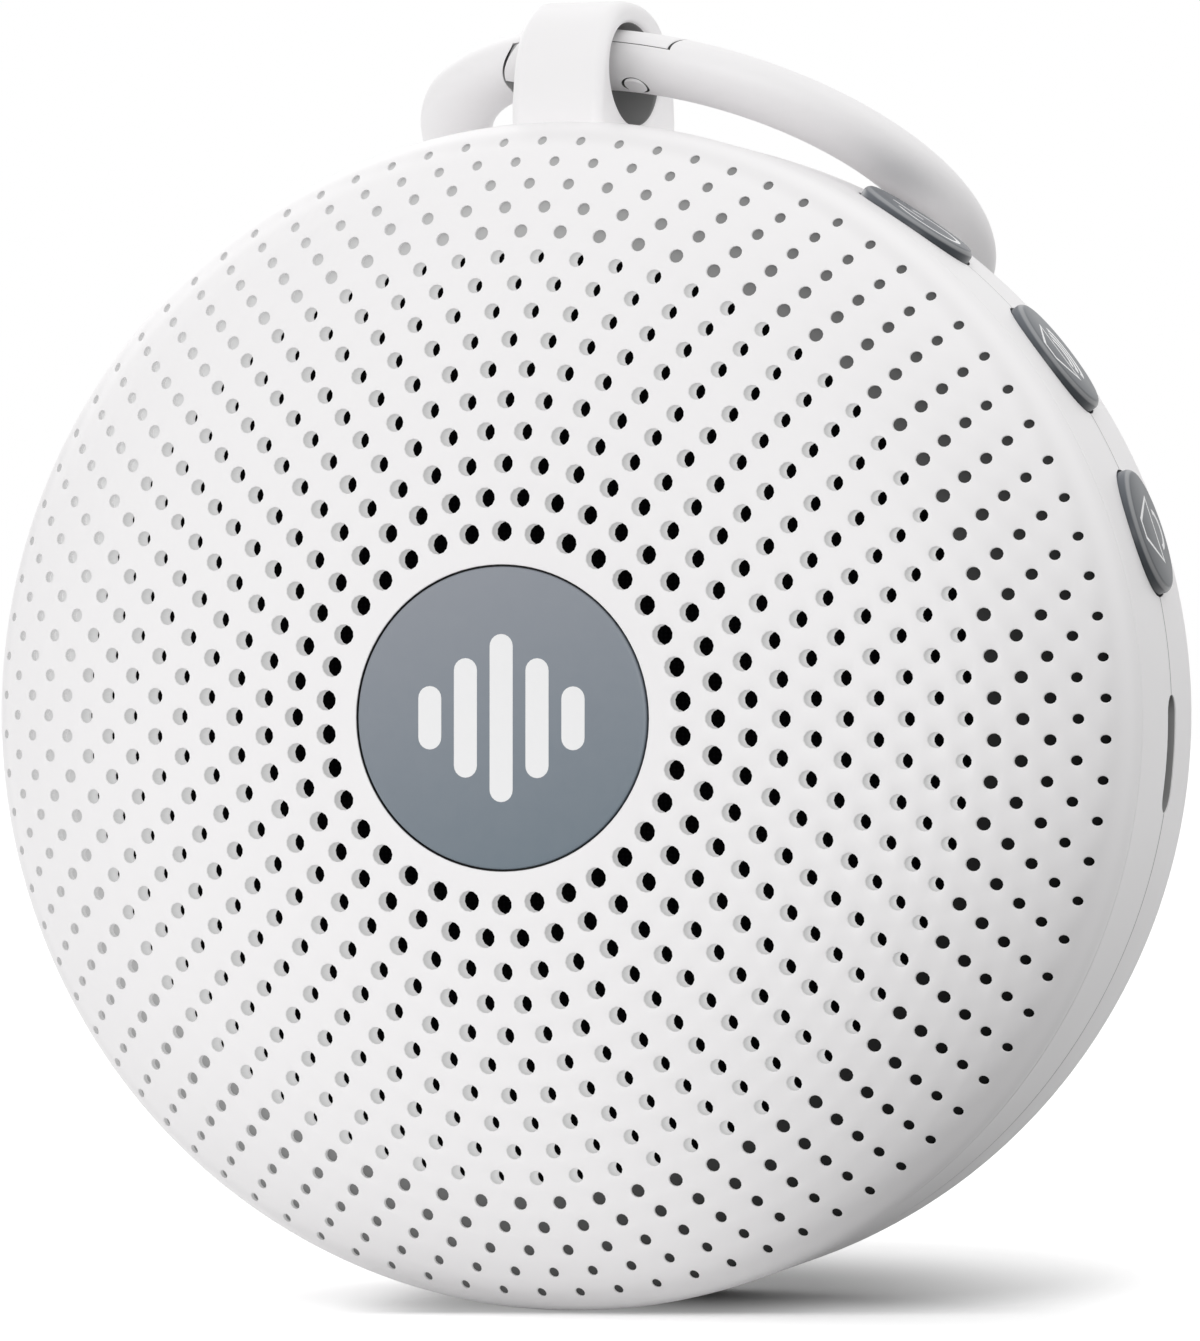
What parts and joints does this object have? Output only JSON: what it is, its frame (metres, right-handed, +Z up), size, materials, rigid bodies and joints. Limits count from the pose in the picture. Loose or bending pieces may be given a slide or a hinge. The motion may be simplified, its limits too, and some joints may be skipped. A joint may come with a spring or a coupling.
{
  "type": "white noise sound machine",
  "caption": "Round portable sound machine on its rim: domed perforated grille, blank badge, side keys, USB-C socket and a split hanging ring in a top lug.",
  "frame": {"origin": "centre of the flat rear face, on the body's axis", "axes": "+Y out of the rear face along the body's axis, +Z up to the hanging lug, +X to the side with the keys seen from the front"},
  "size_m": [0.096, 0.0665, 0.1064],
  "materials": {
    "white_shell": "fine satin moulded white",
    "slate_key": "satin slate grey",
    "badge_face": "satin grey-blue, blank",
    "black_cloth": "black open cloth",
    "black_plastic": "moulded black",
    "screw_steel": "plated screws",
    "socket_steel": "drawn steel shell",
    "magnetic_steel": "zinc plated",
    "magnet": "sintered magnet",
    "basket": "black pressed steel",
    "rubber": "black rubber",
    "paper_cone": "pressed pulp",
    "spider_cloth": "impregnated cloth",
    "coil_copper": "wound copper wire",
    "board_green": "solder mask",
    "connector_cream": "moulded cream",
    "can_metal": "capacitor cans",
    "cell_foil": "foil pouch, blank",
    "foam": "foam tape",
    "wire": "wire insulation"
  },
  "bodies": {
    "body": {"amplifier_chip": "black_plastic", "badge_adhesive": "foam", "badge_disc": "badge_face", "battery_cell": "cell_foil", "battery_connector": "connector_cream", "battery_leads": "wire", "battery_pad": "foam", "board_screws": "screw_steel", "capacitors": "can_metal", "front_grille": "white_shell", "front_housing": "white_shell", "grille_scrim": "black_cloth", "hanging_lug": "white_shell", "housing_screws": "screw_steel", "key_switches": "black_plastic", "main_board": "board_green", "rear_housing": "white_shell", "sound_chip": "black_plastic", "speaker_basket": "basket", "speaker_cone": "paper_cone", "speaker_connector": "connector_cream", "speaker_dust_cap": "paper_cone", "speaker_gasket": "rubber", "speaker_leads": "wire", "speaker_magnet": "magnet", "speaker_screws": "screw_steel", "speaker_spider": "spider_cloth", "speaker_surround": "rubber", "speaker_top_plate": "magnetic_steel", "speaker_yoke": "magnetic_steel", "usb_port_core": "black_plastic", "usb_port_shell": "socket_steel", "voice_coil": "coil_copper"},
    "key_power": {"button_power": "slate_key", "plunger_power": "black_plastic"},
    "key_volume_up": {"button_volume_up": "slate_key", "plunger_volume_up": "black_plastic"},
    "key_volume_down": {"button_volume_down": "slate_key", "plunger_volume_down": "black_plastic"},
    "ring_left": {"ring_arm_left": "white_shell", "ring_pin": "white_shell"},
    "ring_right": {"ring_arm_right": "white_shell"}
  },
  "joints": [
    {"name": "ring_swing", "type": "hinge", "parent": "body", "child": "ring_left", "pos_m": [0.00026, -0.01311, 0.05322], "axis": [0.9669, -0.2482, -0.0593], "range_deg": [0, 205]},
    {"name": "ring_open", "type": "hinge", "parent": "ring_left", "child": "ring_right", "pos_m": [0.00466, -0.01497, 0.05329], "axis": [-0.1624, -0.419, -0.8934], "range_deg": [0, 14], "stiffness_Nm_per_rad": 0.01, "springref_deg": -11.46},
    {"name": "power_press", "type": "slide", "parent": "body", "child": "key_power", "axis": [-0.5592, 0, -0.829], "range_m": [0, 0.00045], "stiffness_N_per_m": 300, "springref_m": -0.0004},
    {"name": "volume_up_press", "type": "slide", "parent": "body", "child": "key_volume_up", "axis": [-0.7986, 0, -0.6018], "range_m": [0, 0.00045], "stiffness_N_per_m": 300, "springref_m": -0.0004},
    {"name": "volume_down_press", "type": "slide", "parent": "body", "child": "key_volume_down", "axis": [-0.9511, 0, -0.309], "range_m": [0, 0.00045], "stiffness_N_per_m": 300, "springref_m": -0.0004}
  ]
}
